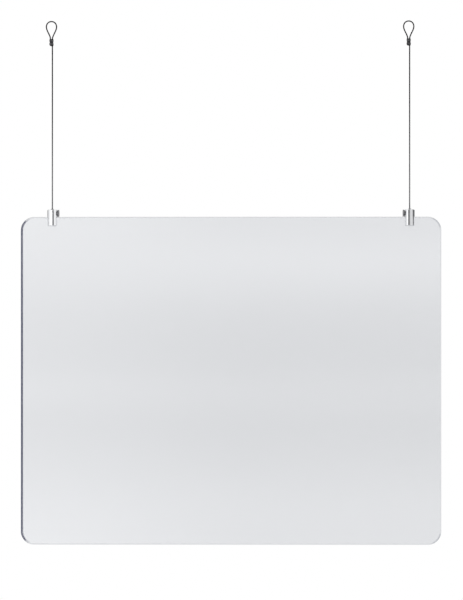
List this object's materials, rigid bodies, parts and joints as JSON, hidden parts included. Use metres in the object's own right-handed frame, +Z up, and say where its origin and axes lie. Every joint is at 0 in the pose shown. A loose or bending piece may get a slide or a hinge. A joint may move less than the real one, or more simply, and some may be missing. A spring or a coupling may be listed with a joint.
{
  "type": "hanging clear screen",
  "caption": "Clear acrylic screen with rounded corners, hung by slotted barrel clamps from steel cables with crimped eyes.",
  "frame": {"origin": "midway between the two cables, at the height where their eyes bear on their hooks", "axes": "+X to the right seen from the front, +Y away from the viewer in front, +Z up"},
  "size_m": [0.785, 0.019, 0.9784],
  "materials": {
    "clear_acrylic": "polished",
    "cable_steel": "satin",
    "ferrule_metal": "satin",
    "nipple_metal": "satin",
    "barrel_chrome": "polished",
    "knob_metal": "satin",
    "screw_steel": "satin",
    "nylon": "satin",
    "soft_pad": "matte"
  },
  "bodies": {
    "hangers": {"left_cable": "cable_steel", "left_ferrule": "ferrule_metal", "right_cable": "cable_steel", "right_ferrule": "ferrule_metal"},
    "screen": {"acrylic_panel": "clear_acrylic", "left_cable_tail": "cable_steel", "left_cable_nipple": "nipple_metal", "left_clamp_body": "barrel_chrome", "left_front_pad": "soft_pad", "right_cable_tail": "cable_steel", "right_cable_nipple": "nipple_metal", "right_clamp_body": "barrel_chrome", "right_front_pad": "soft_pad"},
    "left_tip": {"left_pinch_tip": "nylon"},
    "left_thumb_screw": {"left_pinch_screw": "screw_steel", "left_thumb_knob": "knob_metal"},
    "left_pad": {"left_grip_pad": "nylon"},
    "left_rear_screw": {"left_grip_screw": "screw_steel"},
    "right_tip": {"right_pinch_tip": "nylon"},
    "right_thumb_screw": {"right_pinch_screw": "screw_steel", "right_thumb_knob": "knob_metal"},
    "right_pad": {"right_grip_pad": "nylon"},
    "right_rear_screw": {"right_grip_screw": "screw_steel"}
  },
  "joints": [
    {"name": "screen_swing", "type": "hinge", "parent": "hangers", "child": "screen", "pos_m": [0, 0, -0.3494], "axis": [1, 0, 0], "range_deg": [-15, 15]},
    {"name": "left_tip_travel", "type": "slide", "parent": "screen", "child": "left_tip", "axis": [1, 0, 0], "range_m": [0, 0.002]},
    {"name": "left_thumb_screw_turn", "type": "hinge", "parent": "left_tip", "child": "left_thumb_screw", "pos_m": [-0.3335, 0, -0.3571], "axis": [1, 0, 0], "range_deg": [0, 900]},
    {"name": "left_pad_travel", "type": "slide", "parent": "screen", "child": "left_pad", "axis": [0, 1, 0], "range_m": [0, 0.0012]},
    {"name": "left_rear_screw_turn", "type": "hinge", "parent": "left_pad", "child": "left_rear_screw", "pos_m": [-0.3335, 0, -0.37225], "axis": [0, 1, 0], "range_deg": [0, 540]},
    {"name": "right_tip_travel", "type": "slide", "parent": "screen", "child": "right_tip", "axis": [-1, 0, 0], "range_m": [0, 0.002]},
    {"name": "right_thumb_screw_turn", "type": "hinge", "parent": "right_tip", "child": "right_thumb_screw", "pos_m": [0.3335, 0, -0.3571], "axis": [-1, 0, 0], "range_deg": [0, 900]},
    {"name": "right_pad_travel", "type": "slide", "parent": "screen", "child": "right_pad", "axis": [0, 1, 0], "range_m": [0, 0.0012]},
    {"name": "right_rear_screw_turn", "type": "hinge", "parent": "right_pad", "child": "right_rear_screw", "pos_m": [0.3335, 0, -0.37225], "axis": [0, 1, 0], "range_deg": [0, 540]}
  ],
  "couplings": [
    {"joint": "left_thumb_screw_turn", "follows": "left_tip_travel", "rad_per_m": 7854},
    {"joint": "left_rear_screw_turn", "follows": "left_pad_travel", "rad_per_m": 7854},
    {"joint": "right_thumb_screw_turn", "follows": "right_tip_travel", "rad_per_m": 7854},
    {"joint": "right_rear_screw_turn", "follows": "right_pad_travel", "rad_per_m": 7854}
  ]
}
